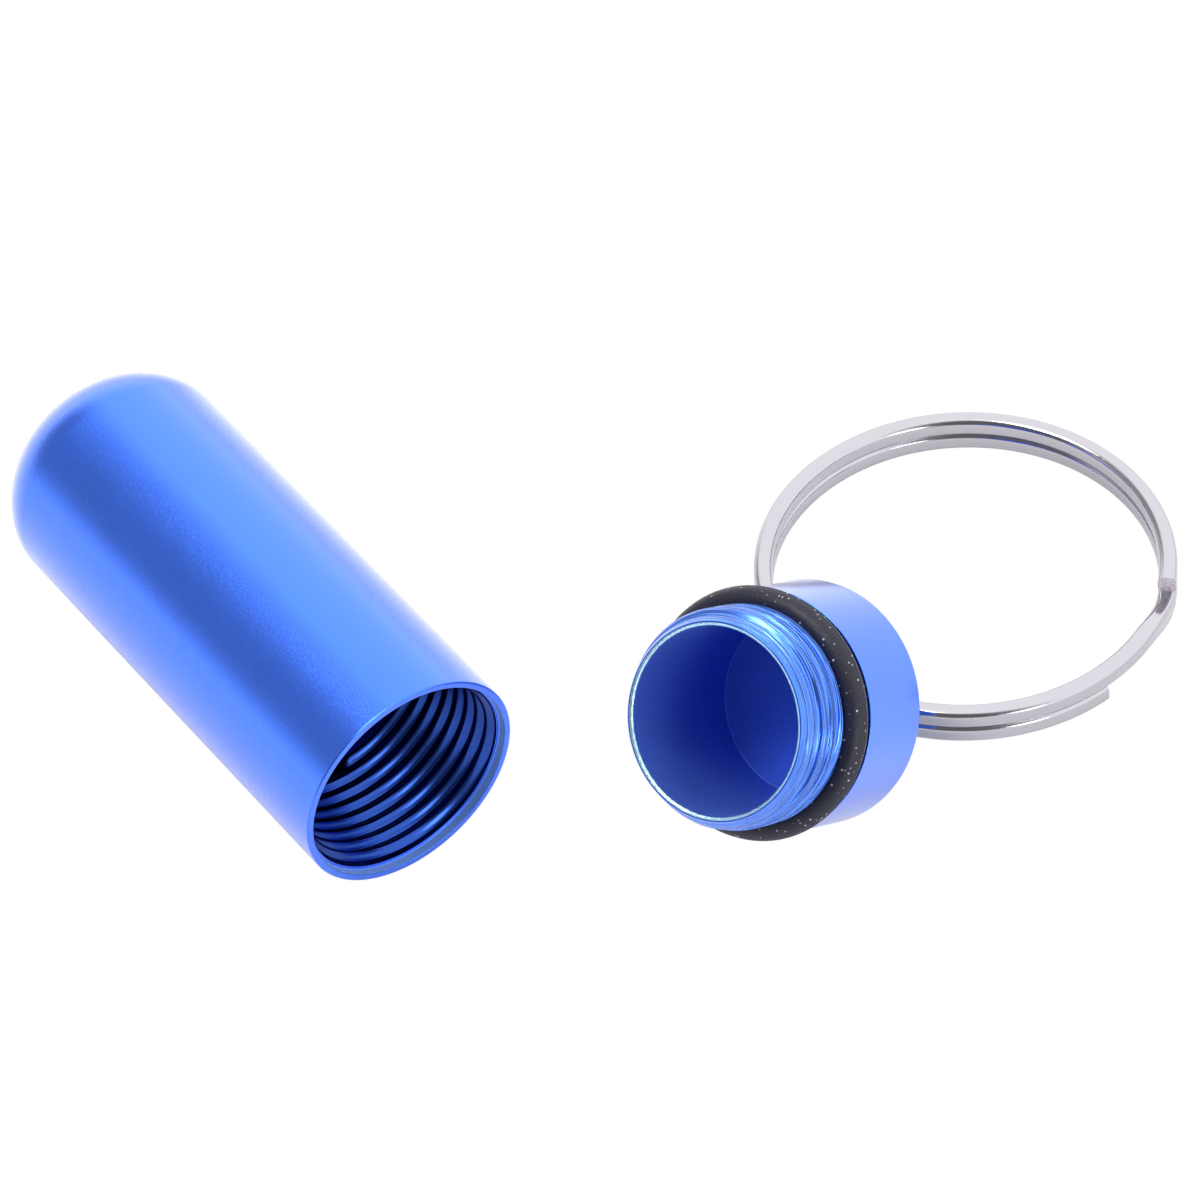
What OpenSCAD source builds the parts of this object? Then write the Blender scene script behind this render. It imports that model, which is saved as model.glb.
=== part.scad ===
// Pocket pill case, shown open: a domed tube and a screw cap turned from aluminium, a rubber
// sealing ring in the neck under the cap's head, and a split ring through the cap's lug.
// The tube lies on its side. The cap lies beside it, leaning back on the edge of its head and on
// its lug, and the split ring lies behind the cap with its far side on the same surface.
// The origin is the centre of the tube's mouth, +X points out of the mouth and +Z is up.

/* [Tube] */
// Outer diameter of the tube and of the cap's head
body_d = 17; // [16.4:0.2:20]
// Length of the tube from its mouth to the top of its dome
tube_len = 42; // [30:1:70]
// Depth of the tube's rounded end
dome_h = 6.2; // [4:0.2:8]
// Thickness of the tube's closed end
end_wall = 1; // [0.6:0.1:2]
// Width of the flat face round the tube's mouth
lip_w = 0.5; // [0.3:0.05:0.6]
// Depth of the recess inside the mouth, before the thread
lip_depth = 0.7; // [0.5:0.1:1.6]
// Length of the tube's threaded stretch
tube_thread_len = 9; // [7:0.5:14]
// Rounding of the mouth's outer edge
lip_edge = 0.12; // [0.05:0.01:0.2]
// Wall of the tube outside its thread
thread_wall = 0.7; // [0.7:0.05:1.4]
// Height of the tube's thread ridge
thread_h = 0.45; // [0.35:0.05:0.55]

/* [Screw cap] */
// Height of the cap's head, from its rear face to the shoulder
head_h = 6.9; // [5:0.1:12]
// Rounding of the head's edges
head_edge = 0.3; // [0.1:0.05:0.5]
// Length of the neck and the threaded spigot together, in front of the shoulder
spigot_len = 6.5; // [5.5:0.1:9]
// Height of the slope that starts the thread at the spigot's rim
rim_slope = 0.65; // [0.2:0.05:0.7]
// Length of that slope along the spigot
rim_slope_len = 1.5; // [0.4:0.1:2]
// Wall between the spigot and the hollow inside the cap
spigot_wall = 1.15; // [0.95:0.05:1.5]
// Thickness of metal behind the cap's hollow
floor_t = 1.2; // [1:0.1:4]
// Diameter of the lug on the rear face
lug_d = 6; // [5.6:0.1:7]
// Length of the lug
lug_len = 6.8; // [6:0.1:9]
// Rounding of the lug's end
lug_edge = 0.6; // [0.3:0.05:0.7]
// Rounding where the lug grows out of the head
lug_root = 0.5; // [0.2:0.05:0.8]
// Metal left between the cross hole and the lug's end
lug_end_wall = 0.75; // [0.65:0.05:1.2]

/* [Sealing ring] */
// Thickness of the rubber cord
cord_d = 2; // [1.6:0.1:2.2]
// Height by which the sealing ring stands proud of the cap's head
seal_proud = 0.25; // [0.1:0.05:0.4]

/* [Split ring] */
// Outer diameter of the split ring
ring_d = 30; // [28:0.5:35]
// Width of the flattened wire, across the ring
wire_w = 1.45; // [1.2:0.05:1.6]
// Thickness of the flattened wire, along the ring's axis
wire_t = 1.12; // [0.9:0.02:1.2]
// Rounding of the wire's corners
wire_edge = 0.32; // [0.1:0.02:0.4]
// Gap between the two turns of wire
turn_gap = 0.42; // [0.41:0.01:0.6]
// Where the upper turn starts, in degrees from the lug round the ring
ring_start = 118; // [60:1:200]
// Degrees that lie between the wire's two ends
ring_opening = 40; // [30:1:70]

/* [Fits] */
// Gap between the cap's thread and the tube's, on the radius
thread_play = 0.15; // [0.1:0.01:0.35]
// Gap between the sealing ring and the neck that it sits in
seal_play = 0.05; // [0.03:0.01:0.08]
// Gap between the split ring and the cross hole, on the radius
ring_play = 0.18; // [0.12:0.01:0.25]

/* [How the cap lies] */
// Distance of the cap's rear face in front of the mouth
cap_x = 11.1; // [10:0.1:30]
// Distance of the cap's rear face beside the tube's axis
cap_y = 26.3; // [24:0.1:50]
// Way that the cap's mouth faces, in degrees from +X
cap_heading = -73.7; // [-85:0.1:-60]

/* [Hidden] */
$fn = 96;
// Lines that stand for a rounded edge, for the dome, and for one turn of the wire
edge_steps = 5;
dome_steps = 18;
turn_steps = 72;
// Length by which a cut runs past the metal
overrun = 1;

// Tube
body_r = body_d / 2;
lip_r = body_r - lip_w;
tube_thread_r = body_r - thread_wall;
bore_r = tube_thread_r - thread_h;
bore_len = tube_len - end_wall;
inner_dome_h = dome_h * bore_r / body_r;

// Cap, measured along its own axis from the rear face of its head
spigot_r = tube_thread_r - thread_play;
hollow_r = spigot_r - spigot_wall;
seal_r = body_r + seal_proud - cord_d / 2;
neck_r = seal_r - cord_d / 2 - seal_play;
neck_end = head_h + cord_d + 2 * seal_play;
rim = head_h + spigot_len;
lug_r = lug_d / 2;

// Split ring
wire_mid_r = ring_d / 2 - wire_w / 2;
turn_pitch = wire_t + turn_gap;
stack_h = turn_pitch + wire_t;
wire_sweep = 720 - ring_opening;
// The wire bows by this much on its way through the lug
wire_bow = lug_r * lug_r / (2 * wire_mid_r);
hole_r = norm([wire_w / 2, stack_h / 2]) + wire_bow / 2 + ring_play;
hole_back = lug_len - lug_end_wall - hole_r;

// Lean of the cap that puts both the head's rear edge and the lug's end on the surface
lean_across = (body_r - head_edge) - (lug_r - lug_edge);
lean_along = (lug_len - lug_edge) + head_edge;
cap_lean = acos((lug_edge - head_edge) / norm([lean_across, lean_along])) - atan2(lean_along, lean_across);
cap_z = (body_r - head_edge) * cos(cap_lean) + head_edge - head_edge * sin(cap_lean) - body_r;
// Slope of the split ring, from the lug down to the surface on its far side
hole_h = cap_z + body_r - hole_back * sin(cap_lean);
ring_reach = wire_mid_r + ring_d / 2;
ring_slope = asin(hole_h / norm([ring_reach, stack_h / 2])) - atan2(stack_h / 2, ring_reach);

// Points of an arc round [x, y], from one angle to the other
function arc(x, y, r, from, to, steps) =
    [for (i = [0 : steps]) let (a = from + (to - from) * i / steps) [x + r * cos(a), y + r * sin(a)]];

// Points of a quarter ellipse from its pole on the axis out to its side
function quarter(r, h, pole_y, steps) =
    [for (i = [0 : steps]) let (a = 90 * i / steps) [r * sin(a), pole_y + h - h * cos(a)]];

// Points of the same quarter, drawn from its side back to its pole
function quarter_back(r, h, pole_y, steps) =
    [for (i = [0 : steps]) let (a = 90 - 90 * i / steps) [r * sin(a), pole_y + h - h * cos(a)]];

// Half section of the tube, with its mouth at zero and its dome below
function tube_profile() = concat(
    quarter(body_r, dome_h, -tube_len, dome_steps),
    arc(body_r - lip_edge, -lip_edge, lip_edge, 0, 90, edge_steps),
    [
        [lip_r, 0],
        [lip_r, -lip_depth],
        [tube_thread_r, -lip_depth],
        [tube_thread_r, -lip_depth - tube_thread_len],
        [bore_r, -lip_depth - tube_thread_len - (tube_thread_r - bore_r)],
    ],
    quarter_back(bore_r, inner_dome_h, -bore_len, dome_steps)
);

// Half section of the cap, from the lug's end up to the rim and down into the hollow
function cap_profile() = concat(
    [[0, -lug_len]],
    arc(lug_r - lug_edge, lug_edge - lug_len, lug_edge, -90, 0, edge_steps),
    arc(lug_r + lug_root, -lug_root, lug_root, 180, 90, edge_steps),
    arc(body_r - head_edge, head_edge, head_edge, -90, 0, edge_steps),
    arc(body_r - head_edge / 2, head_h - head_edge / 2, head_edge / 2, 0, 90, edge_steps),
    [
        [neck_r, head_h],
        [neck_r, neck_end],
        [spigot_r, neck_end],
        [spigot_r, rim - rim_slope_len],
        [spigot_r - rim_slope, rim],
        [hollow_r + head_edge / 2, rim],
        [hollow_r, rim - head_edge / 2],
    ],
    arc(hollow_r - head_edge, floor_t + head_edge, head_edge, 0, -90, edge_steps),
    [[0, floor_t]]
);

// Corners of the wire's section, as [outwards, upwards] from its middle
function wire_section() = [
    [wire_w / 2, -wire_t / 2 + wire_edge],
    [wire_w / 2, wire_t / 2 - wire_edge],
    [wire_w / 2 - wire_edge, wire_t / 2],
    [-wire_w / 2 + wire_edge, wire_t / 2],
    [-wire_w / 2, wire_t / 2 - wire_edge],
    [-wire_w / 2, -wire_t / 2 + wire_edge],
    [-wire_w / 2 + wire_edge, -wire_t / 2],
    [wire_w / 2 - wire_edge, -wire_t / 2],
];

// Share of the step down from the upper turn to the lower one, s degrees along the wire
function step_share(s) =
    let (t = min(1, max(0, (s - (360 - ring_opening)) / ring_opening)))
    t * t * (3 - 2 * t);

// Middle of the wire, s degrees along it from its upper end
function wire_at(s) = [
    wire_mid_r * cos(ring_start + s),
    wire_mid_r * sin(ring_start + s),
    turn_pitch * (0.5 - step_share(s)),
];

// Places along the wire, in degrees from its upper end, with the lower end last
turn_step = 360 / turn_steps;
wire_stops = [each [0 : turn_step : wire_sweep - turn_step / 2], wire_sweep];
wire_steps = len(wire_stops) - 1;

// Least gap between the two turns, measured between the wire's middles
least_gap = min([
    for (s = wire_stops, t = wire_stops)
    if (t - s > 180) norm(wire_at(t) - wire_at(s)) - wire_t
]);
echo(str("least gap between the ring's turns in mm: ", least_gap));

// The split ring is one wire, swept through two turns less its opening
module wound_wire() {
    corners = wire_section();
    sides = len(corners);
    points = [
        for (s = wire_stops, k = corners)
        wire_at(s) + [k.x * cos(ring_start + s), k.x * sin(ring_start + s), k.y]
    ];
    last = wire_steps * sides;
    walls = [
        for (i = [0 : wire_steps - 1], k = [0 : sides - 1])
        let (a = i * sides + k, b = i * sides + (k + 1) % sides)
        each [[a, a + sides, b + sides], [a, b + sides, b]]
    ];
    ends = [for (k = [1 : sides - 2]) each [[0, k, k + 1], [last, last + k + 1, last + k]]];
    polyhedron(points, concat(walls, ends), convexity = 6);
}

// Puts a piece drawn on the cap's axis, with the head's rear face at zero, where the cap lies
module on_cap() {
    translate([cap_x, cap_y, cap_z])
        rotate([0, 90 - cap_lean, cap_heading])
            children();
}

module case_tube() {
    color("#2f62d9")
        rotate([0, 90, 0])
            rotate_extrude()
                polygon(tube_profile());
}

module screw_cap() {
    color("#3f7bf0")
        on_cap()
            difference() {
                rotate_extrude()
                    polygon(cap_profile());
                translate([0, 0, -hole_back])
                    rotate([90, 0, 0])
                        cylinder(r = hole_r, h = lug_d + 2 * overrun, center = true);
            }
}

module o_ring() {
    color("#1b1b1d")
        on_cap()
            translate([0, 0, head_h + seal_play + cord_d / 2])
                rotate_extrude()
                    translate([seal_r, 0])
                        circle(d = cord_d, $fn = 32);
}

module split_ring() {
    color("#c9c7d2")
        on_cap()
            translate([0, 0, -hole_back])
                rotate([0, cap_lean - ring_slope - 90, 0])
                    translate([-wire_mid_r, 0, 0])
                        wound_wire();
}

case_tube();
screw_cap();
o_ring();
split_ring();
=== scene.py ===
# A pocket pill case, open, on a white table: domed tube, screw cap, sealing ring and split ring.
# Sizes are in millimetres in each section and turn to metres when a mesh is put in its place.
import math

import bmesh
import bpy
from mathutils import Matrix, Vector


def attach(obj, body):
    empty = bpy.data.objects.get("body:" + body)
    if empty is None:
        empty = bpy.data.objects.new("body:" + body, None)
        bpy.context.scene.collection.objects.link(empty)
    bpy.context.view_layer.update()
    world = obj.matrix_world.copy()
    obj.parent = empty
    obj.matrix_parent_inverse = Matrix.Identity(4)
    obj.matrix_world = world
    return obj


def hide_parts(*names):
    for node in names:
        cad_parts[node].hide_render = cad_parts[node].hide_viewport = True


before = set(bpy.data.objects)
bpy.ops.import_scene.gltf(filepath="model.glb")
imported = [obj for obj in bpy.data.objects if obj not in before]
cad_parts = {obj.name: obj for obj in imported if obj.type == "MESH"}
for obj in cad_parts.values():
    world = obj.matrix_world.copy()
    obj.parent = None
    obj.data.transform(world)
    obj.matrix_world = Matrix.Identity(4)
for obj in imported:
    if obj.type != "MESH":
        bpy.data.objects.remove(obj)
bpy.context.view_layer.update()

MM = 0.001
TURN = 2 * math.pi


# The table, the light and the camera. The pieces lie on a white table, lit a little from below,
# in a white tent with one soft box overhead and a small one at the right. The camera sees the
# table as plain white, and the tent's dim sides draw the dark bands on the metal.
def add(tree, kind, inputs=None, **settings):
    """Adds a node to a tree, with its settings, and sets or links its inputs."""
    node = tree.nodes.new(kind)
    for key, value in settings.items():
        setattr(node, key, value)
    for key, value in (inputs or {}).items():
        if isinstance(value, bpy.types.Node):
            value = next(out for out in value.outputs if out.enabled)
        if isinstance(value, bpy.types.NodeSocket):
            tree.links.new(value, node.inputs[key])
        else:
            node.inputs[key].default_value = value
    return node


def new_material(name):
    """Makes a material and gives it with its node tree, emptied."""
    material = bpy.data.materials.new(name)
    material.use_nodes = True
    material.node_tree.nodes.clear()
    return material, material.node_tree


def heading(azimuth, elevation):
    """Unit vector towards a compass heading from +X, in degrees, and a height above the table."""
    a, e = math.radians(azimuth), math.radians(elevation)
    return Vector((math.cos(a) * math.cos(e), math.sin(a) * math.cos(e), math.sin(e)))


WHITE = (1, 1, 1, 1)
PLAIN_WHITE = 1.0
TENT_LIGHT = 1.72
# Each dim side: where it is, its full and its outer half angle in degrees, and its light
DIM_SIDES = [
    (heading(-148, 36), 19, 44, 0.52),
    (heading(-60, 33), 30, 62, 0.22),
]

world = bpy.data.worlds.new("white_tent")
bpy.context.scene.world = world
world.use_nodes = True
tent = world.node_tree
tent.nodes.clear()
way = add(tent, "ShaderNodeTexCoord").outputs["Generated"]
level = TENT_LIGHT
for towards, core, edge, dim in DIM_SIDES:
    nearness = add(tent, "ShaderNodeVectorMath", {0: way, 1: towards}, operation="DOT_PRODUCT")
    side = add(
        tent,
        "ShaderNodeMapRange",
        {
            "Value": nearness.outputs["Value"],
            "From Min": math.cos(math.radians(edge)),
            "From Max": math.cos(math.radians(core)),
            "To Min": TENT_LIGHT,
            "To Max": dim,
        },
        interpolation_type="SMOOTHSTEP",
    )
    level = add(tent, "ShaderNodeMath", {0: level, 1: side}, operation="MINIMUM")
cloth = add(tent, "ShaderNodeBackground", {"Color": WHITE, "Strength": level})
backdrop = add(tent, "ShaderNodeBackground", {"Color": WHITE, "Strength": PLAIN_WHITE})
seen = add(tent, "ShaderNodeLightPath").outputs["Is Camera Ray"]
tent_mix = add(tent, "ShaderNodeMixShader", {0: seen, 1: cloth, 2: backdrop})
add(tent, "ShaderNodeOutputWorld", {"Surface": tent_mix})

# The table, in metres, and the share of light that it gives back and gives off
TABLE_Z = -8.5 * MM
TABLE_SIZE = 3.0
TABLE_ALBEDO, TABLE_GLOW = 0.66, 0.28
table_mat, tree = new_material("matt_white_table")
paper = add(tree, "ShaderNodeBsdfDiffuse", {"Color": (TABLE_ALBEDO,) * 3 + (1,)})
glow = add(tree, "ShaderNodeEmission", {"Color": WHITE, "Strength": TABLE_GLOW})
lit = add(tree, "ShaderNodeAddShader", {0: paper, 1: glow})
plain = add(tree, "ShaderNodeEmission", {"Color": WHITE, "Strength": PLAIN_WHITE})
seen = add(tree, "ShaderNodeLightPath").outputs["Is Camera Ray"]
sheet = add(tree, "ShaderNodeMixShader", {0: seen, 1: lit, 2: plain})
add(tree, "ShaderNodeOutputMaterial", {"Surface": sheet})
table_mesh = bpy.data.meshes.new("table_top")
half = TABLE_SIZE / 2
corners = [(-half, -half), (half, -half), (half, half), (-half, half)]
table_mesh.from_pydata([(x, y, TABLE_Z) for x, y in corners], [], [(0, 1, 2, 3)])
table_mesh.materials.append(table_mat)
table_top = bpy.data.objects.new("table_top", table_mesh)
bpy.context.collection.objects.link(table_top)

# Name, place in metres, diameter in metres and radiance
SOFT_BOXES = [
    ("overhead_soft_box", Vector((-0.114, -0.086, 0.552)), 0.27, 9.0),
    ("side_soft_box", Vector((0.578, -0.04, 0.155)), 0.19, 6.0),
]
for name, place, across, radiance in SOFT_BOXES:
    box = bpy.data.lights.new(name, "AREA")
    box.shape = "DISK"
    box.size = across
    # The power of a whole disc that shines with this radiance
    box.energy = radiance * math.pi * math.pi * across**2 / 4
    lamp = bpy.data.objects.new(name, box)
    facing = place.to_track_quat("Z", "Y").to_matrix().to_4x4()
    lamp.matrix_world = Matrix.Translation(place) @ facing
    bpy.context.collection.objects.link(lamp)

# The camera stands at the photograph's angle: about 0.54 m away, 50 degrees above the table and
# rolled by 9 degrees, through a long lens.
EYE = Vector((290.0858, -145.0409, 400.4790)) * MM
RIGHT = Vector((0.5864415, 0.803651, -0.1011506))
UP = Vector((-0.5827848, 0.5053666, 0.6363698))
AHEAD = Vector((-0.5625374, 0.3142447, -0.7647235))
SENSOR_WIDTH, FOCAL_LENGTH = 36, 225.15
NEAREST, FARTHEST = 0.01, 20
view = bpy.data.cameras.new("camera")
view.sensor_width, view.lens = SENSOR_WIDTH, FOCAL_LENGTH
view.clip_start, view.clip_end = NEAREST, FARTHEST
camera = bpy.data.objects.new("camera", view)
camera.matrix_world = Matrix((RIGHT, UP, -AHEAD)).transposed().to_4x4()
camera.location = EYE
bpy.context.collection.objects.link(camera)
bpy.context.scene.camera = camera
bpy.context.scene.view_settings.view_transform = "Standard"
bpy.context.scene.cycles.use_denoising = True


# The tube: one piece of aluminium bar, turned outside with a rounded end, bored out, recessed
# inside its mouth and threaded with a fine right-handed thread. It was rubbed satin and then
# anodised blue.
def colour(hex_value):
    """Turns an sRGB hex colour into the linear colour that a shader takes."""
    shares = [int(hex_value[i : i + 2], 16) / 255 for i in (1, 3, 5)]
    return [c / 12.92 if c <= 0.04045 else ((c + 0.055) / 1.055) ** 2.4 for c in shares] + [1]


def bow(x, rx, rr, start, end, steps):
    """Stations [x, r, 0] of an elliptical bow round [x, 0], from one angle off the axis to
    another, in degrees."""
    angles = [math.radians(start + (end - start) * i / steps) for i in range(steps + 1)]
    return [(x + rx * math.cos(a), rr * math.sin(a), 0) for a in angles]


def soften(stations, steps=5):
    """Rounds each [x, r, fillet] corner of a turned section, and gives its [x, r] points."""
    points = []
    last = len(stations) - 1
    for i, (x, r, fillet) in enumerate(stations):
        at = Vector((x, r))
        if not fillet or i in (0, last):
            points.append(at)
            continue
        back = (Vector(stations[i - 1][:2]) - at).normalized()
        on = (Vector(stations[i + 1][:2]) - at).normalized()
        bend = back.angle(on)
        reach = fillet / math.tan(bend / 2)
        centre = at + (back + on).normalized() * fillet / math.sin(bend / 2)
        a, b = at + back * reach - centre, at + on * reach - centre
        for step in range(steps + 1):
            points.append(centre + a.slerp(b, step / steps).normalized() * fillet)
    return points


def in_stretch(x, r, stretch):
    """Tells whether [x, r] lies in a thread's stretch, which gives x from and to, then r."""
    return stretch[0] <= x <= stretch[1] and stretch[2] <= r <= stretch[3]


def stops(points, stretch, thread_step, step=3.0, beside=0.04):
    """Adds points along each straight: one beside each end, which keeps the shading of a
    rounded edge off the faces next to it, and more where a thread is cut."""
    out = [points[0]]
    for a, b in zip(points, points[1:]):
        length = (b - a).length
        if length > 4 * beside:
            threaded = in_stretch(*a.lerp(b, 0.5), stretch)
            inner = length - 2 * beside
            count = max(1, math.ceil(inner / (thread_step if threaded else step)))
            out += [a.lerp(b, (beside + inner * i / count) / length) for i in range(count + 1)]
        out.append(b)
    return out


ON_AXIS = 1e-6


def lathe(name, section, sides):
    """Turns a section of [x, r] points round the X axis into a closed mesh in millimetres."""
    bm = bmesh.new()
    rings = []
    for x, r in section:
        if r < ON_AXIS:
            rings.append([bm.verts.new((x, 0, 0))])
        else:
            angles = [TURN * k / sides for k in range(sides)]
            rings.append([bm.verts.new((x, r * math.cos(a), r * math.sin(a))) for a in angles])
    if len(rings[0]) > 1:
        rings.append(rings[0])
    for a, b in zip(rings, rings[1:]):
        for k in range(sides):
            n = (k + 1) % sides
            loop = [a[k % len(a)], b[k % len(b)], b[n % len(b)], a[n % len(a)]]
            bm.faces.new(list(dict.fromkeys(loop)))
    bmesh.ops.recalc_face_normals(bm, faces=bm.faces)
    mesh = bpy.data.meshes.new(name)
    bm.to_mesh(mesh)
    bm.free()
    mesh.shade_smooth()
    piece = bpy.data.objects.new(name, mesh)
    bpy.context.collection.objects.link(piece)
    return piece


def new_tree(name, inputs, output):
    """Starts a Geometry Nodes tree with its inputs, as labels under each kind of socket, and its
    one output. Gives the tree and the sockets that its inputs come from."""
    tree = bpy.data.node_groups.new(name, "GeometryNodeTree")
    for kind, labels in inputs.items():
        for label in labels:
            tree.interface.new_socket(label, in_out="INPUT", socket_type="NodeSocket" + kind)
    tree.interface.new_socket(output, in_out="OUTPUT", socket_type="NodeSocketGeometry")
    return tree, add(tree, "NodeGroupInput").outputs


def thread_tree():
    """Raises a right-handed helical ridge on the points whose attribute threaded is 1."""
    numbers = ["Pitch", "Height", "Start", "Turns", "Phase", "Crest", "Root", "Lead in", "Run out"]
    finishes = ["Body finish", "Thread finish"]
    inputs = {"Geometry": ["Blank"], "Float": numbers, "Material": finishes}
    tree, given = new_tree("cut_thread", inputs, "Piece")
    place = add(tree, "ShaderNodeSeparateXYZ", {0: add(tree, "GeometryNodeInputPosition")})
    x, y, z = place.outputs
    # Turns along the axis and round it, from which each point's place beside its ridge follows
    round_it = add(tree, "ShaderNodeMath", {0: z, 1: y}, operation="ARCTAN2")
    turned = add(tree, "ShaderNodeMath", {0: round_it, 1: TURN}, operation="DIVIDE")
    depth = add(tree, "ShaderNodeMath", {0: x, 1: given["Start"]}, operation="ADD")
    along = add(tree, "ShaderNodeMath", {0: depth, 1: given["Pitch"]}, operation="DIVIDE")
    twisted = add(tree, "ShaderNodeMath", {0: turned, 1: along}, operation="SUBTRACT")
    spiral = add(tree, "ShaderNodeMath", {0: twisted, 1: given["Phase"]}, operation="SUBTRACT")
    ridge = add(tree, "ShaderNodeMath", {0: spiral}, operation="ROUND")
    off = add(tree, "ShaderNodeMath", {0: spiral, 1: ridge}, operation="SUBTRACT")
    aside = add(tree, "ShaderNodeMath", {0: off}, operation="ABSOLUTE")
    flank = add(
        tree,
        "ShaderNodeMapRange",
        {
            "Value": aside,
            "From Min": given["Crest"],
            "From Max": given["Root"],
            "To Min": 1,
            "To Max": 0,
        },
        interpolation_type="SMOOTHSTEP",
    )
    # Turns run since the ridge began, which lets it rise at its start and stop at its end
    phased = add(tree, "ShaderNodeMath", {0: ridge, 1: given["Phase"]}, operation="ADD")
    run = add(tree, "ShaderNodeMath", {0: phased, 1: turned}, operation="SUBTRACT")
    rise = add(
        tree,
        "ShaderNodeMapRange",
        {"Value": run, "From Min": 0, "From Max": given["Lead in"]},
        interpolation_type="SMOOTHSTEP",
    )
    stop = add(tree, "ShaderNodeMath", {0: given["Turns"], 1: given["Run out"]}, operation="ADD")
    fall = add(
        tree,
        "ShaderNodeMapRange",
        {"Value": run, "From Min": given["Turns"], "From Max": stop, "To Min": 1, "To Max": 0},
        interpolation_type="SMOOTHSTEP",
    )
    marked = add(tree, "GeometryNodeInputNamedAttribute", {"Name": "threaded"}, data_type="FLOAT")
    marked = marked.outputs["Attribute"]
    lift = given["Height"]
    for share in (flank, rise, fall, marked):
        lift = add(tree, "ShaderNodeMath", {0: lift, 1: share}, operation="MULTIPLY")
    outward = add(tree, "ShaderNodeCombineXYZ", {"Y": y, "Z": z})
    outward = add(tree, "ShaderNodeVectorMath", {0: outward}, operation="NORMALIZE")
    shift = add(tree, "ShaderNodeVectorMath", {0: outward, "Scale": lift}, operation="SCALE")
    cut = add(tree, "GeometryNodeSetPosition", {"Geometry": given["Blank"], "Offset": shift})
    whole = add(tree, "GeometryNodeRealizeInstances", {"Geometry": cut})
    body = add(
        tree, "GeometryNodeSetMaterial", {"Geometry": whole, "Material": given["Body finish"]}
    )
    on_thread = add(tree, "ShaderNodeMath", {0: marked, 1: 0.5}, operation="GREATER_THAN")
    dressed = add(
        tree,
        "GeometryNodeSetMaterial",
        {"Geometry": body, "Selection": on_thread, "Material": given["Thread finish"]},
    )
    add(tree, "NodeGroupOutput", {"Piece": dressed})
    return tree


def run_tree(piece, tree, values):
    """Gives a piece a Geometry Nodes tree with its inputs, and keeps the result as its mesh."""
    modifier = piece.modifiers.new(tree.name, "NODES")
    modifier.node_group = tree
    for item in tree.interface.items_tree:
        if item.in_out == "INPUT" and item.name in values:
            modifier[item.identifier] = values[item.name]
    evaluated = piece.evaluated_get(bpy.context.evaluated_depsgraph_get())
    made = bpy.data.meshes.new_from_object(evaluated)
    piece.modifiers.remove(modifier)
    made.name = piece.name
    piece.data = made


def mark_thread(piece, stretch):
    """Marks the points of a turned piece that the thread is cut in."""
    mark = piece.data.attributes.new("threaded", "FLOAT", "POINT")
    for vert in piece.data.vertices:
        r = math.hypot(vert.co.y, vert.co.z)
        mark.data[vert.index].value = float(in_stretch(vert.co.x, r, stretch))


def refinish(piece, finish, x_from, x_to, r_to):
    """Gives another finish to a turned piece's faces between two stations and within a radius."""
    piece.data.materials.append(finish)
    for face in piece.data.polygons:
        x, r = face.center.x, math.hypot(face.center.y, face.center.z)
        if x_from < x < x_to and r < r_to:
            face.material_index = len(piece.data.materials) - 1


def own_place(tree, place):
    """Gives the shaded point in millimetres, in the frame that a piece was drawn in."""
    point = add(tree, "ShaderNodeTexCoord").outputs["Object"]
    return add(
        tree,
        "ShaderNodeMapping",
        {
            "Vector": point,
            "Location": place.to_translation(),
            "Rotation": place.to_euler(),
            "Scale": (MM, MM, MM),
        },
        vector_type="TEXTURE",
    )


# Nearly all of a noise texture lies between these two values
NOISE_LOW, NOISE_HIGH = 0.3, 0.7
# The frost and the clouds in the dye are this fine, in patches to the millimetre
FROST_SCALE, CLOUD_SCALE = 5.0, 0.3
# The dye's colour where it is thick and thin, the spread of the sheen and the oxide's IOR
DYE_THICK, DYE_THIN = 0.93, 1.05
SHEEN_SPREAD = 0.1
OXIDE_IOR = 1.6


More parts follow.
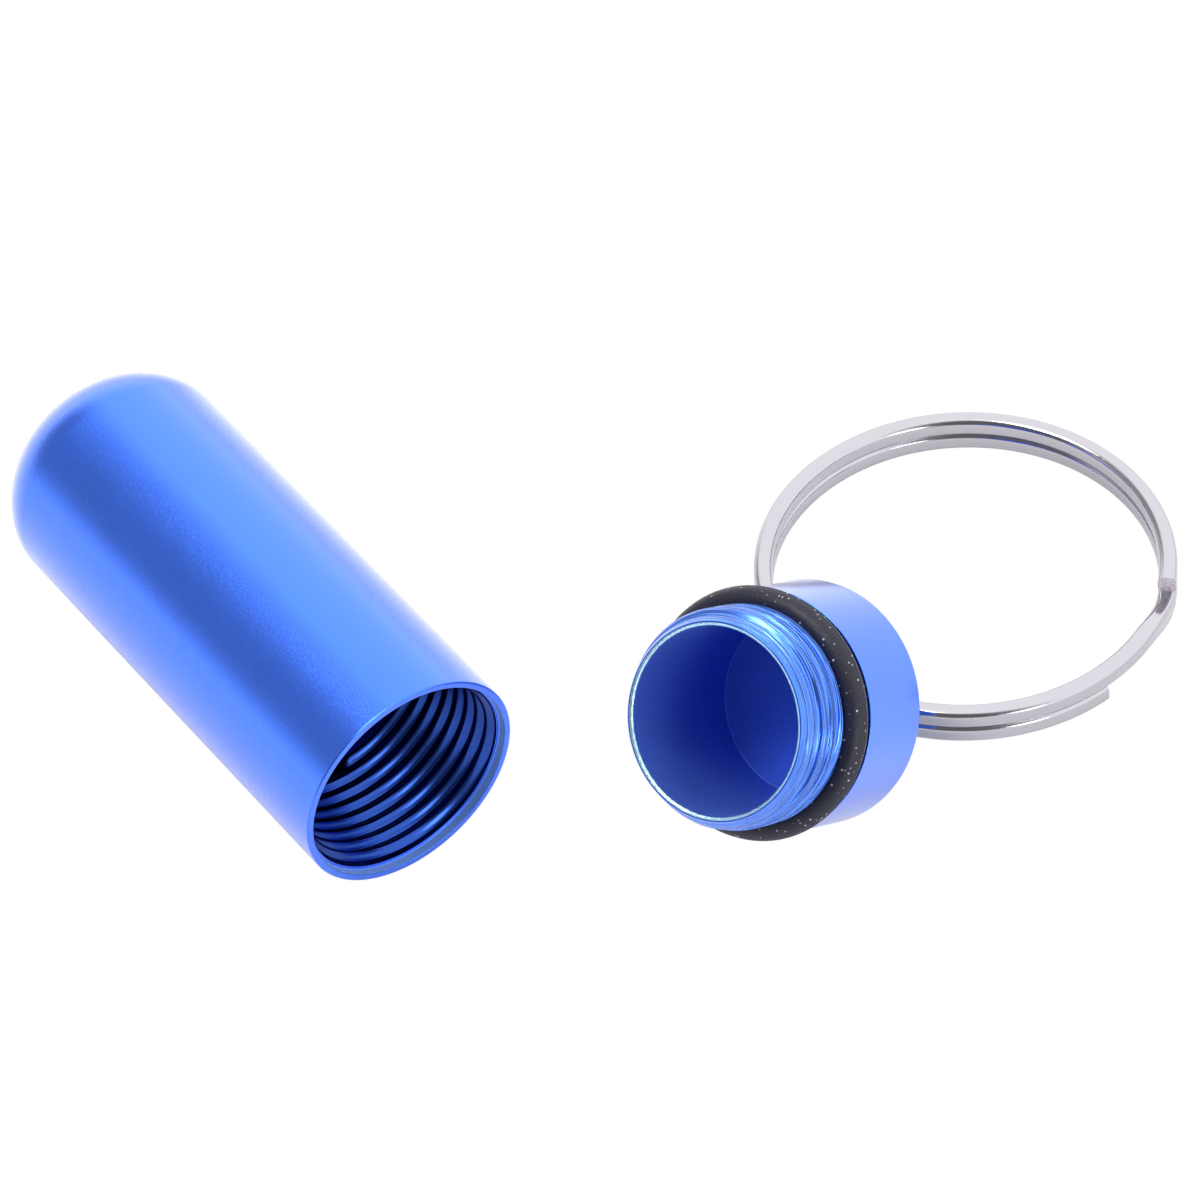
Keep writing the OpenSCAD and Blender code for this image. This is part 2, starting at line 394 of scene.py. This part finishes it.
def anodised(name, dye, rough, line, line_depth, frost_depth, place=None, run=3.0, skin=1.0):
    """Dyed anodised aluminium: dyed metal under a clear glassy skin of oxide, so highlights stay
    blue and grazing light goes white. Fine lines from the lathe run round it, and a fine frost
    from the etching bath covers it. Line is the width of the lathe's lines, run is their length,
    and skin is the weight of the clear layer."""
    mat, tree = new_material(name)
    local = own_place(tree, place or Matrix())
    rings_at = add(
        tree, "ShaderNodeMapping", {"Vector": local, "Scale": (0.5 / line, 1 / run, 1 / run)}
    )
    rings = add(tree, "ShaderNodeTexNoise", {"Vector": rings_at, "Scale": 1.0, "Detail": 3.0})
    frost = add(tree, "ShaderNodeTexNoise", {"Vector": local, "Scale": FROST_SCALE, "Detail": 3.0})
    cloud = add(tree, "ShaderNodeTexNoise", {"Vector": local, "Scale": CLOUD_SCALE, "Detail": 2.0})
    dyed = colour(dye)
    patchy = add(
        tree,
        "ShaderNodeMix",
        {
            "Factor": cloud.outputs[0],
            "A": [c * DYE_THICK for c in dyed[:3]] + [1],
            "B": [min(1, c * DYE_THIN) for c in dyed[:3]] + [1],
        },
        data_type="RGBA",
    )
    sheen = add(
        tree,
        "ShaderNodeMapRange",
        {
            "Value": frost.outputs[0],
            "From Min": NOISE_LOW,
            "From Max": NOISE_HIGH,
            "To Min": rough * (1 - SHEEN_SPREAD),
            "To Max": rough * (1 + SHEEN_SPREAD),
        },
    )
    lathed = add(
        tree,
        "ShaderNodeBump",
        {"Height": rings.outputs[0], "Distance": line_depth * MM, "Strength": 1.0},
    )
    frosted = add(
        tree,
        "ShaderNodeBump",
        {
            "Height": frost.outputs[0],
            "Distance": frost_depth * MM,
            "Strength": 1.0,
            "Normal": lathed,
        },
    )
    metal = add(
        tree,
        "ShaderNodeBsdfPrincipled",
        {
            "Base Color": patchy,
            "Metallic": 1.0,
            "Roughness": sheen,
            "Normal": frosted,
            "Coat Weight": skin,
            "Coat Roughness": sheen,
            "Coat IOR": OXIDE_IOR,
            "Coat Normal": frosted,
        },
    )
    add(tree, "ShaderNodeOutputMaterial", {"Surface": metal})
    return mat


def settle(piece, place):
    """Puts a piece's mesh where it lies, in metres, with its object left at the origin."""
    piece.data.transform(place @ Matrix.Scale(MM, 4))


TUBE_R, TUBE_LEN, DOME_H = 8.5, 42.0, 6.2
LIP_R, LIP_DEPTH = 8.0, 0.7
TUBE_ROOT_R, BORE_R, TUBE_THREAD_LEN = 7.8, 7.35, 10.2
BORE_END, INNER_DOME_H = -41.0, 5.36
# Fillets of the mouth's two edges, the foot of the recess, the thread's ends and the bore's step
MOUTH_FILLET, LIP_FILLET, FOOT_FILLET, ROOT_FILLET, STEP_FILLET = 0.12, 0.05, 0.08, 0.05, 0.1
PITCH = 1.2
SIDES, DOME_STEPS, INNER_DOME_STEPS = 192, 40, 24
THREAD_STEP = PITCH / 20
# How far the marked stretch keeps off the thread's ends, and how far it reaches off its root
TUBE_SLACK = 0.02

# The ridge stops short of the stretch's inner end, where the tool ran out
thread_end = -LIP_DEPTH - TUBE_THREAD_LEN
stretch = (
    thread_end + TUBE_SLACK,
    -LIP_DEPTH - TUBE_SLACK,
    TUBE_ROOT_R - TUBE_SLACK,
    TUBE_ROOT_R + TUBE_SLACK,
)
section = soften(
    bow(DOME_H - TUBE_LEN, DOME_H, TUBE_R, 180, 90, DOME_STEPS)
    + [
        (0, TUBE_R, MOUTH_FILLET),
        (0, LIP_R, LIP_FILLET),
        (-LIP_DEPTH, LIP_R, FOOT_FILLET),
        (-LIP_DEPTH, TUBE_ROOT_R, ROOT_FILLET),
        (thread_end, TUBE_ROOT_R, ROOT_FILLET),
        (thread_end, BORE_R, STEP_FILLET),
    ]
    + bow(BORE_END + INNER_DOME_H, INNER_DOME_H, BORE_R, 90, 180, INNER_DOME_STEPS)
)
tube = lathe("tube_turned", stops(section, stretch, THREAD_STEP), SIDES)
mark_thread(tube, stretch)
cut_thread = thread_tree()
# A soft metallic blue, with a faint sparkle where the light falls off
satin_blue = anodised(
    "satin_blue_anodised_aluminium",
    "#1e6cf8",
    rough=0.26,
    line=0.05,
    line_depth=0.0008,
    frost_depth=0.006,
)
# The bore is painted a darker navy as painted shade, with a sharp highlight along each turn of the
# thread
thread_blue_painted_shade = anodised(
    "blue_anodised_cut_thread_painted_shade",
    "#0f3e98",
    rough=0.22,
    line=0.08,
    line_depth=0.006,
    frost_depth=0.002,
    skin=0.35,
)
# The boring tool left the recess dull, and its pale blue is painted light that keeps it an even
# mid blue from every side
recess_blue_painted_light = anodised(
    "dull_blue_anodised_recess_painted_light",
    "#98c4ff",
    rough=0.8,
    line=0.1,
    line_depth=0.002,
    frost_depth=0.0,
)
run_tree(
    tube,
    cut_thread,
    {
        "Pitch": PITCH,
        "Height": BORE_R - TUBE_ROOT_R,
        "Start": LIP_DEPTH,
        "Turns": 7.82,
        "Phase": 0.58,
        "Crest": 0.06,
        "Root": 0.48,
        "Lead in": 0.3,
        "Run out": 0.012,
        "Body finish": satin_blue,
        "Thread finish": thread_blue_painted_shade,
    },
)
# The dull recess, in its pale blue painted light, starts off its foot and ends off the rim, and
# the navy painted shade of the bore starts in the step
OFF_FOOT, OFF_RIM, IN_STEP, OFF_WALL = 0.04, 0.06, 0.1, 0.01
refinish(tube, recess_blue_painted_light, OFF_FOOT - LIP_DEPTH, -OFF_RIM, LIP_R + OFF_WALL)
bore_floor = BORE_END + INNER_DOME_H
refinish(tube, thread_blue_painted_shade, bore_floor, thread_end + IN_STEP, TUBE_ROOT_R + OFF_WALL)
settle(tube, Matrix())
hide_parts("case_tube")
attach(tube, "case_tube")


# The cap: turned from the same bar as the tube. A plain head, a neck for the sealing ring, a
# spigot with a shallow worn thread that is bored out to a thin wall, and a drilled lug on the
# rear for the split ring. The dye has worn off the sharp rim, and its pale line is also a painted
# highlight.
RIM, HEAD_H, NECK_END = 13.4, 6.9, 9.0
HEAD_R, NECK_R, SPIGOT_R, GROOVE = 8.5, 6.7, 7.65, 0.28
RIM_R, SLOPE_LEN, BEAD = 6.86, 1.5, 0.25
HOLLOW_R, CAP_FLOOR = 6.5, 1.2
LUG_R, LUG_LEN, HOLE_BACK, HOLE_R = 3.0, 6.8, 4.1976, 1.8524
# Fillets, from the lug's end to the floor of the hollow
LUG_FILLET, LUG_FOOT_FILLET, BACK_FILLET, FRONT_FILLET = 0.6, 0.5, 0.3, 0.06
NECK_FILLET, SPIGOT_FILLET, SLOPE_FILLET, RIM_FILLET, FLOOR_FILLET = 0.1, 0.05, 0.5, 0.04, 0.1
CAP_AT = Vector((11.1, 26.3, -2.0891707)) * MM
CAP_AXIS = Vector((0.2157279, -0.7377319, 0.6396976))
HOLE_AXIS = Vector((0.9598053, 0.2806667, 0.0))

# The cap is drawn like the tube, with its rim at zero and its head towards -X
axes = Matrix((CAP_AXIS, HOLE_AXIS, CAP_AXIS.cross(HOLE_AXIS))).transposed().to_4x4()
cap_place = Matrix.Translation(CAP_AT + CAP_AXIS * RIM * MM) @ axes
section = soften(
    [
        (-RIM - LUG_LEN, 0, 0),
        (-RIM - LUG_LEN, LUG_R, LUG_FILLET),
        (-RIM, LUG_R, LUG_FOOT_FILLET),
        (-RIM, HEAD_R, BACK_FILLET),
        (HEAD_H - RIM, HEAD_R, FRONT_FILLET),
        (HEAD_H - RIM, NECK_R, NECK_FILLET),
        (NECK_END - RIM, NECK_R, NECK_FILLET),
        (NECK_END - RIM, SPIGOT_R, SPIGOT_FILLET),
        (-SLOPE_LEN, SPIGOT_R, SLOPE_FILLET),
        (0, RIM_R, RIM_FILLET),
        (0, HOLLOW_R, BEAD),
        (CAP_FLOOR - RIM, HOLLOW_R, FLOOR_FILLET),
        (CAP_FLOOR - RIM, 0, 0),
    ]
)
# The thread's stretch keeps off the neck and the rim, and takes in the slope
OFF_NECK, OFF_CAP_RIM, OVER_NECK, CAP_SLACK = 0.03, 0.12, 0.25, 0.01
stretch = (NECK_END - RIM + OFF_NECK, -OFF_CAP_RIM, NECK_R + OVER_NECK, SPIGOT_R + CAP_SLACK)
cap = lathe("cap_turned", stops(section, stretch, THREAD_STEP), SIDES)
DRILL_OVERRUN, DRILL_SIDES = 1, 64
reach = LUG_R + DRILL_OVERRUN
drill_section = soften([(-reach, 0, 0), (-reach, HOLE_R, 0), (reach, HOLE_R, 0), (reach, 0, 0)])
drill = lathe("lug_drill", drill_section, DRILL_SIDES)
across_lug = Matrix.Rotation(TURN / 4, 4, "Z")
drill.data.transform(Matrix.Translation((-RIM - HOLE_BACK, 0, 0)) @ across_lug)
drilled = cap.modifiers.new("cross_hole", "BOOLEAN")
drilled.object = drill
drilled.solver = "EXACT"
bored = bpy.data.meshes.new_from_object(cap.evaluated_get(bpy.context.evaluated_depsgraph_get()))
cap.modifiers.remove(drilled)
cap.data = bored
bpy.data.objects.remove(drill)
mark_thread(cap, stretch)
# The head is a brighter, sharper blue than the tube
bright_blue = anodised(
    "bright_blue_anodised_aluminium",
    "#2472fb",
    rough=0.14,
    line=0.1,
    line_depth=0.0006,
    frost_depth=0.0004,
    place=cap_place,
)
# Coarse tool lines on the spigot draw each light out into a streak. The lines are drawn coarser
# than the real ones.
spigot_blue = anodised(
    "blue_anodised_turned_thread",
    "#3f7ff2",
    rough=0.22,
    line=0.13,
    line_depth=0.5,
    frost_depth=0.004,
    place=cap_place,
    run=20.0,
)
# The inside is dull, so it stays an even royal blue
hollow_blue = anodised(
    "dull_blue_anodised_hollow",
    "#5281e1",
    rough=0.65,
    line=0.1,
    line_depth=0.002,
    frost_depth=0.0,
    place=cap_place,
)
run_tree(
    cap,
    cut_thread,
    {
        "Pitch": PITCH,
        "Height": -GROOVE,
        "Start": 0.2,
        "Turns": 3.3,
        "Phase": 0.0,
        "Crest": 0.06,
        "Root": 0.28,
        "Lead in": 0.35,
        "Run out": 0.3,
        "Body finish": bright_blue,
        "Thread finish": spigot_blue,
    },
)
# The rounded edge between the hollow and the flat face in front is worn bare, and its thin pale
# cyan line is partly painted highlight
worn_edge_and_painted_highlight = anodised(
    "worn_rim_bare_aluminium_and_painted_highlight",
    "#b8e4ff",
    rough=0.35,
    line=0.1,
    line_depth=0.004,
    frost_depth=0.05,
    place=cap_place,
)
UNDER_FLOOR, OFF_HOLLOW, PAST_RIM = 0.01, 0.02, 1
refinish(cap, hollow_blue, CAP_FLOOR - RIM - UNDER_FLOOR, -BEAD, HOLLOW_R + OFF_HOLLOW)
refinish(cap, worn_edge_and_painted_highlight, -BEAD, PAST_RIM, HOLLOW_R + BEAD)
# Edges that bend by more than this stay sharp
SHARP_BEND = math.radians(40)
cap.data.set_sharp_from_angle(angle=SHARP_BEND)
settle(cap, cap_place)
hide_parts("screw_cap")
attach(cap, "screw_cap")


# The sealing ring: a moulded nitrile rubber cord, 2 mm thick, in the neck under the head. The two
# halves of its mould leave a thin line all round it, and loose white dust sticks to it.
CORD_R, SEAL_R, SEAL_PLAY = 1.0, 7.75, 0.05
CORD_STEP = 8
FLASH_AT, FLASH_H, FLASH_HALF = (90, 270), 0.03, 2.0
seal_x = HEAD_H - RIM + SEAL_PLAY + CORD_R
flash_angles = [edge + side * FLASH_HALF for edge in FLASH_AT for side in (-1, 0, 1)]
section = []
# A set takes each angle once, because two of the line's edges fall on the cord's own steps
for angle in sorted({*range(0, 360, CORD_STEP), *flash_angles}):
    r = CORD_R + (FLASH_H if angle in FLASH_AT else 0)
    a = math.radians(angle)
    section.append(Vector((seal_x + r * math.cos(a), SEAL_R + r * math.sin(a))))
seal = lathe("sealing_ring", section, SIDES)
# A soft black with a dull broad sheen, flecked with the dust. Its slight blue tinge is painted
# reflection of the blue cap
GRAIN_SCALE, SPECK_SCALE, SMEAR_SCALE = 5.0, 2.2, 0.9
PIT_DEPTH, RUBBER_IOR = 0.03, 1.45
rubber, tree = new_material("black_nitrile_rubber")
point = add(tree, "ShaderNodeTexCoord").outputs["Object"]
local = add(tree, "ShaderNodeMapping", {"Vector": point, "Scale": (1 / MM,) * 3})
grain = add(tree, "ShaderNodeTexNoise", {"Vector": local, "Scale": GRAIN_SCALE, "Detail": 4.0})
grain = grain.outputs[0]
specks = add(tree, "ShaderNodeTexVoronoi", {"Vector": local, "Scale": SPECK_SCALE})
smear = add(tree, "ShaderNodeTexNoise", {"Vector": local, "Scale": SMEAR_SCALE, "Detail": 2.0})
# Specks of 0.1 to 0.2 mm, gathered where the smear is high
speck = add(
    tree,
    "ShaderNodeMapRange",
    {
        "Value": specks.outputs["Distance"],
        "From Min": 0.1,
        "From Max": 0.2,
        "To Min": 1,
        "To Max": 0,
    },
)
gathered = add(
    tree, "ShaderNodeMapRange", {"Value": smear.outputs[0], "From Min": 0.4, "From Max": 0.55}
)
dust = add(tree, "ShaderNodeMath", {0: speck, 1: gathered}, operation="MULTIPLY")
# The blue in this black is painted reflection of the blue cap
black_and_painted_blue = add(
    tree,
    "ShaderNodeMix",
    {"Factor": grain, "A": colour("#0a0a1c"), "B": colour("#14132a")},
    data_type="RGBA",
)
dusty = add(
    tree, "ShaderNodeMix", {"Factor": dust, "A": black_and_painted_blue, "B": colour("#b4b4c2")}, data_type="RGBA"
)
matt = add(
    tree,
    "ShaderNodeMapRange",
    {
        "Value": grain,
        "From Min": NOISE_LOW,
        "From Max": NOISE_HIGH,
        "To Min": 0.42,
        "To Max": 0.55,
    },
)
pitted = add(
    tree, "ShaderNodeBump", {"Height": grain, "Distance": PIT_DEPTH * MM, "Strength": 1.0}
)
skin = add(
    tree,
    "ShaderNodeBsdfPrincipled",
    {"Base Color": dusty, "Roughness": matt, "Normal": pitted, "IOR": RUBBER_IOR},
)
add(tree, "ShaderNodeOutputMaterial", {"Surface": skin})
seal.data.materials.append(rubber)
settle(seal, cap_place)
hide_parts("o_ring")
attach(seal, "o_ring")


# The split ring: flattened spring steel wire, wound through two turns, stepped down where its
# ends meet, cropped square at both ends and nickel plated.
RING_R, WIRE_W, WIRE_T, WIRE_CORNER = 15.0, 1.45, 1.28, 0.44
# The height of one turn, and the angles of the start, the opening and the step, in degrees
TURN_PITCH = 1.38
RING_START, RING_OPENING, STEP_OVER = 118, 40, 22
WIRE_STEPS, CORNER_STEPS = 420, 8
RING_AT = Vector((6.2014309, 43.0517998, -5.9447018)) * MM
RING_UP = Vector((-0.0230105, 0.0786897, 0.9966336))
FROM_LUG = Vector((-0.2797219, 0.9565742, -0.081985))


def wire_tree():
    """Winds a flattened wire through two turns, stepped down from the upper to the lower one."""
    turn_numbers = ["Radius", "Pitch", "Start", "Sweep", "Step from", "Step over"]
    wire_numbers = ["Width", "Thickness", "Corner"]
    inputs = {
        "Geometry": ["Blank"],
        "Int": ["Steps"],
        "Float": turn_numbers + wire_numbers,
        "Material": ["Plating"],
    }
    tree, given = new_tree("wind_wire", inputs, "Ring")
    line = add(tree, "GeometryNodeMeshLine", {"Count": given["Steps"]})
    index = add(tree, "GeometryNodeInputIndex")
    last = add(tree, "ShaderNodeMath", {0: given["Steps"], 1: 1.0}, operation="SUBTRACT")
    part = add(tree, "ShaderNodeMath", {0: index, 1: last}, operation="DIVIDE")
    run = add(tree, "ShaderNodeMath", {0: part, 1: given["Sweep"]}, operation="MULTIPLY")
    angle = add(tree, "ShaderNodeMath", {0: run, 1: given["Start"]}, operation="ADD")
    step_end = add(
        tree, "ShaderNodeMath", {0: given["Step from"], 1: given["Step over"]}, operation="ADD"
    )
    # From half a pitch above the ring's middle to half a pitch below it
    down = add(
        tree,
        "ShaderNodeMapRange",
        {
            "Value": run,
            "From Min": given["Step from"],
            "From Max": step_end,
            "To Min": 0.5,
            "To Max": -0.5,
        },
        interpolation_type="SMOOTHSTEP",
    )
    across = add(tree, "ShaderNodeMath", {0: angle}, operation="COSINE")
    beside = add(tree, "ShaderNodeMath", {0: angle}, operation="SINE")
    x = add(tree, "ShaderNodeMath", {0: across, 1: given["Radius"]}, operation="MULTIPLY")
    y = add(tree, "ShaderNodeMath", {0: beside, 1: given["Radius"]}, operation="MULTIPLY")
    z = add(tree, "ShaderNodeMath", {0: down, 1: given["Pitch"]}, operation="MULTIPLY")
    place = add(tree, "ShaderNodeCombineXYZ", {"X": x, "Y": y, "Z": z})
    laid = add(tree, "GeometryNodeSetPosition", {"Geometry": line, "Position": place})
    path = add(tree, "GeometryNodeMeshToCurve", {"Mesh": laid})
    upright = add(tree, "GeometryNodeSetCurveNormal", {"Curve": path}, mode="Z_UP")
    flat = add(
        tree,
        "GeometryNodeCurvePrimitiveQuadrilateral",
        {"Width": given["Thickness"], "Height": given["Width"]},
    )
    rounded = add(
        tree,
        "GeometryNodeFilletCurve",
        {"Curve": flat, "Count": CORNER_STEPS, "Radius": given["Corner"]},
        mode="POLY",
    )
    wire = add(
        tree,
        "GeometryNodeCurveToMesh",
        {"Curve": upright, "Profile Curve": rounded, "Fill Caps": True},
    )
    smooth = add(tree, "GeometryNodeSetShadeSmooth", {"Geometry": wire})
    whole = add(tree, "GeometryNodeRealizeInstances", {"Geometry": smooth})
    dressed = add(
        tree, "GeometryNodeSetMaterial", {"Geometry": whole, "Material": given["Plating"]}
    )
    add(tree, "NodeGroupOutput", {"Ring": dressed})
    return tree


ring_axes = Matrix((-FROM_LUG, RING_UP.cross(-FROM_LUG), RING_UP)).transposed().to_4x4()
ring_place = Matrix.Translation(RING_AT) @ ring_axes
# Nickel plate over drawn steel wire: bright and slightly warm, with the long scratches of
# drawing, which run round for most of a radian and lie an eighth of a millimetre apart
SCRATCH_SCALE, PLATE_PIT_SCALE = (1.2, 8.0, 8.0), 3.0
SCRATCH_DEPTH, PLATE_PIT_DEPTH = 0.008, 0.004
nickel, tree = new_material("bright_nickel_plated_steel")
local = own_place(tree, ring_place)
x, y, z = add(tree, "ShaderNodeSeparateXYZ", {0: local}).outputs
round_it = add(tree, "ShaderNodeMath", {0: y, 1: x}, operation="ARCTAN2")
flat = add(tree, "ShaderNodeCombineXYZ", {"X": x, "Y": y})
from_middle = add(tree, "ShaderNodeVectorMath", {0: flat}, operation="LENGTH").outputs["Value"]
drawn = add(tree, "ShaderNodeCombineXYZ", {"X": round_it, "Y": from_middle, "Z": z})
lines_at = add(tree, "ShaderNodeMapping", {"Vector": drawn, "Scale": SCRATCH_SCALE})
lines = add(tree, "ShaderNodeTexNoise", {"Vector": lines_at, "Scale": 1.0, "Detail": 3.0})
pits = add(tree, "ShaderNodeTexNoise", {"Vector": local, "Scale": PLATE_PIT_SCALE, "Detail": 3.0})
pits = pits.outputs[0]
scratched = add(
    tree,
    "ShaderNodeBump",
    {"Height": lines.outputs[0], "Distance": SCRATCH_DEPTH * MM, "Strength": 1.0},
)
pitted = add(
    tree,
    "ShaderNodeBump",
    {"Height": pits, "Distance": PLATE_PIT_DEPTH * MM, "Strength": 1.0, "Normal": scratched},
)
polish = add(
    tree,
    "ShaderNodeMapRange",
    {"Value": pits, "From Min": NOISE_LOW, "From Max": NOISE_HIGH, "To Min": 0.08, "To Max": 0.18},
)
skin = add(
    tree,
    "ShaderNodeBsdfPrincipled",
    {"Base Color": colour("#b0adb4"), "Metallic": 1.0, "Roughness": polish, "Normal": pitted},
)
add(tree, "ShaderNodeOutputMaterial", {"Surface": skin})

ring_mesh = bpy.data.meshes.new("ring_wire")
ring_mesh.from_pydata([(0, 0, 0)], [], [])
ring = bpy.data.objects.new("ring_wire", ring_mesh)
bpy.context.collection.objects.link(ring)
run_tree(
    ring,
    wire_tree(),
    {
        "Steps": WIRE_STEPS,
        "Radius": RING_R - WIRE_W / 2,
        "Pitch": TURN_PITCH,
        "Start": math.radians(RING_START),
        "Sweep": math.radians(720 - RING_OPENING),
        "Step from": math.radians(360 - STEP_OVER),
        "Step over": math.radians(STEP_OVER),
        "Width": WIRE_W,
        "Thickness": WIRE_T,
        "Corner": WIRE_CORNER,
        "Plating": nickel,
    },
)
# The cropped ends are raw steel, rough and grey, and their pale colour is partly painted light.
# They are the only faces with more than four sides.
TEAR_SCALE, TEAR_DEPTH, RAW_ROUGH = 4.0, 0.1, 0.6
raw_end_painted_light, tree = new_material("raw_cropped_steel_painted_light")
point = add(tree, "ShaderNodeTexCoord").outputs["Object"]
local = add(tree, "ShaderNodeMapping", {"Vector": point, "Scale": (1 / MM,) * 3})
torn = add(tree, "ShaderNodeTexNoise", {"Vector": local, "Scale": TEAR_SCALE, "Detail": 3.0})
torn = torn.outputs[0]
# Random tones of the torn steel, both painted pale as painted light
stain_and_painted_light = add(
    tree,
    "ShaderNodeMix",
    {"Factor": torn, "A": colour("#b5abb1"), "B": colour("#f3eff3")},
    data_type="RGBA",
)
rough = add(
    tree, "ShaderNodeBump", {"Height": torn, "Distance": TEAR_DEPTH * MM, "Strength": 1.0}
)
skin = add(
    tree,
    "ShaderNodeBsdfPrincipled",
    {"Base Color": stain_and_painted_light, "Metallic": 1.0, "Roughness": RAW_ROUGH, "Normal": rough},
)
add(tree, "ShaderNodeOutputMaterial", {"Surface": skin})
ring.data.materials.append(raw_end_painted_light)
for face in ring.data.polygons:
    if len(face.vertices) > 4:
        face.material_index = len(ring.data.materials) - 1
ring.data.set_sharp_from_angle(angle=SHARP_BEND)
settle(ring, ring_place)
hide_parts("split_ring")
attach(ring, "split_ring")
